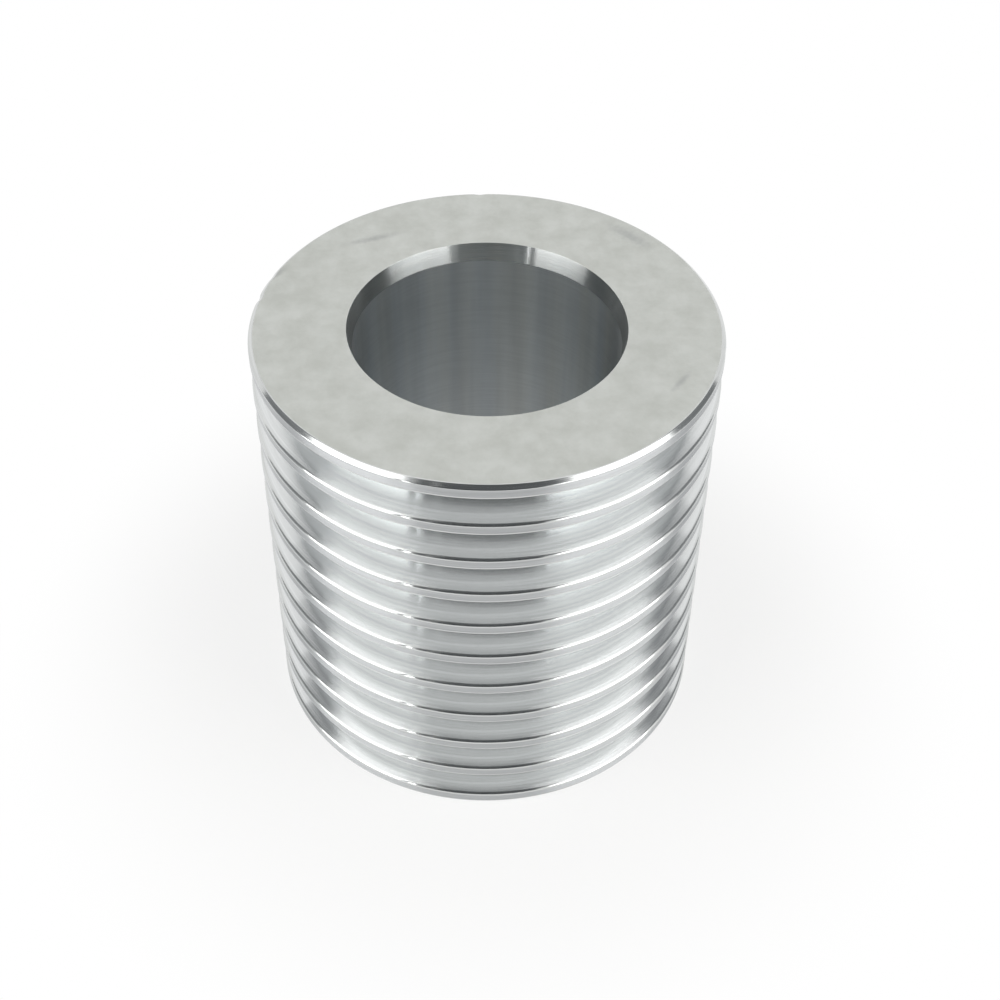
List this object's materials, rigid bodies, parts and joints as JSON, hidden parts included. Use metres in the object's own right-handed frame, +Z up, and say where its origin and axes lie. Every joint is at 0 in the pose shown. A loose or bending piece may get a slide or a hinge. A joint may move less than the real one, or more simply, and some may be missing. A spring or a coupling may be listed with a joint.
{
  "type": "grooved belt pulley",
  "caption": "Turned aluminium pulley with V grooves round its rim for a multi-ribbed belt, flat end faces and a plain bore right through it with a shallow lead at each mouth.",
  "frame": {"origin": "centre of the lower end face, on the bore axis", "axes": "+Z up the bore axis; the pulley is the same all round that axis and the same either way up"},
  "size_m": [0.0372, 0.0372, 0.037],
  "materials": {
    "turned_aluminium": "bare, fine turned"
  },
  "bodies": {
    "root": {"grooved_pulley": "turned_aluminium"}
  },
  "joints": []
}
